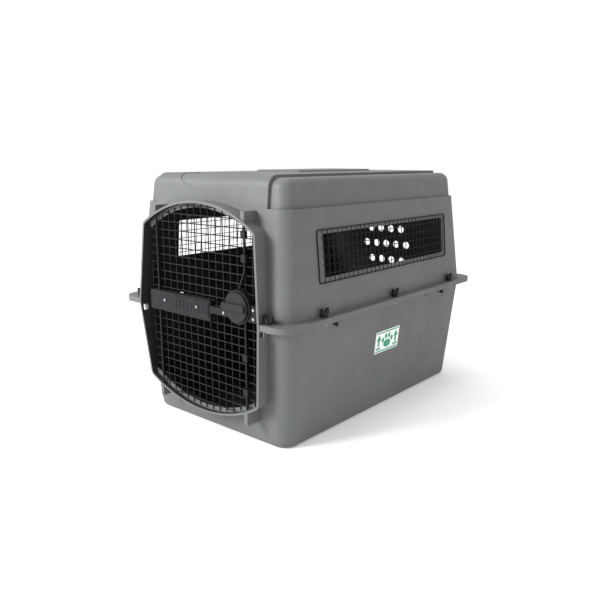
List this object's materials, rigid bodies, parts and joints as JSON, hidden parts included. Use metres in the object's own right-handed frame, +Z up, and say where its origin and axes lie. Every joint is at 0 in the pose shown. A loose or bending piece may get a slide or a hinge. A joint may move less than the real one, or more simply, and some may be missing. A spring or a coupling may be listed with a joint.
{
  "type": "pet transport carrier",
  "caption": "Rigid two-shell pet carrier with a welded wire door, a dial latch that drives two rods, wire side windows, rear vents and a bolted flange.",
  "frame": {"origin": "bottom centre of the whole carrier, on the floor it stands on", "axes": "-Y is the door side, +Y runs to the back, +X is the door's latch side, +Z up"},
  "size_m": [0.634, 0.9448, 0.69],
  "materials": {
    "housing_grey": "fine moulded grain",
    "black_plastic": "satin",
    "latch_grey": "satin",
    "black_wire": "black powder coat",
    "zinc": "zinc plate",
    "label_white": "printed film"
  },
  "bodies": {
    "carrier": {"top_shell": "housing_grey", "bottom_shell": "housing_grey", "flange_bolts": "zinc", "flange_washers": "zinc", "wing_nuts": "black_plastic", "grille_frame_right": "black_wire", "grille_frame_left": "black_wire", "side_grille_right": "black_wire", "side_grille_left": "black_wire", "grille_push_nuts_right": "zinc", "grille_push_nuts_left": "zinc", "shipping_label": "label_white"},
    "door": {"door_grille": "black_wire", "hinge_rod": "black_wire", "rod_guides": "black_plastic", "latch_housing": "black_plastic", "latch_back_plate": "black_plastic", "latch_screws": "zinc", "badge_plate": "latch_grey"},
    "dial": {"latch_cam": "black_plastic", "latch_dial": "latch_grey", "dial_washer": "zinc", "dial_screw": "zinc"},
    "upper_rod": {"upper_latch_rod": "black_wire"},
    "lower_rod": {"lower_latch_rod": "black_wire"}
  },
  "joints": [
    {"name": "door_hinge", "type": "hinge", "parent": "carrier", "child": "door", "pos_m": [-0.167, -0.4496, 0.331], "axis": [0, 0, -1], "range_deg": [0, 145]},
    {"name": "dial_turn", "type": "hinge", "parent": "door", "child": "dial", "pos_m": [0.1495, -0.4656, 0.367], "axis": [0, -1, 0], "range_deg": [0, 90]},
    {"name": "upper_rod_slide", "type": "slide", "parent": "door", "child": "upper_rod", "axis": [0, 0, 1], "range_m": [0, 0.016]},
    {"name": "lower_rod_slide", "type": "slide", "parent": "door", "child": "lower_rod", "axis": [0, 0, -1], "range_m": [0, 0.016]}
  ],
  "couplings": [
    {"joint": "upper_rod_slide", "follows": "dial_turn", "m_per_rad": 0.010185},
    {"joint": "lower_rod_slide", "follows": "dial_turn", "m_per_rad": 0.010185}
  ]
}
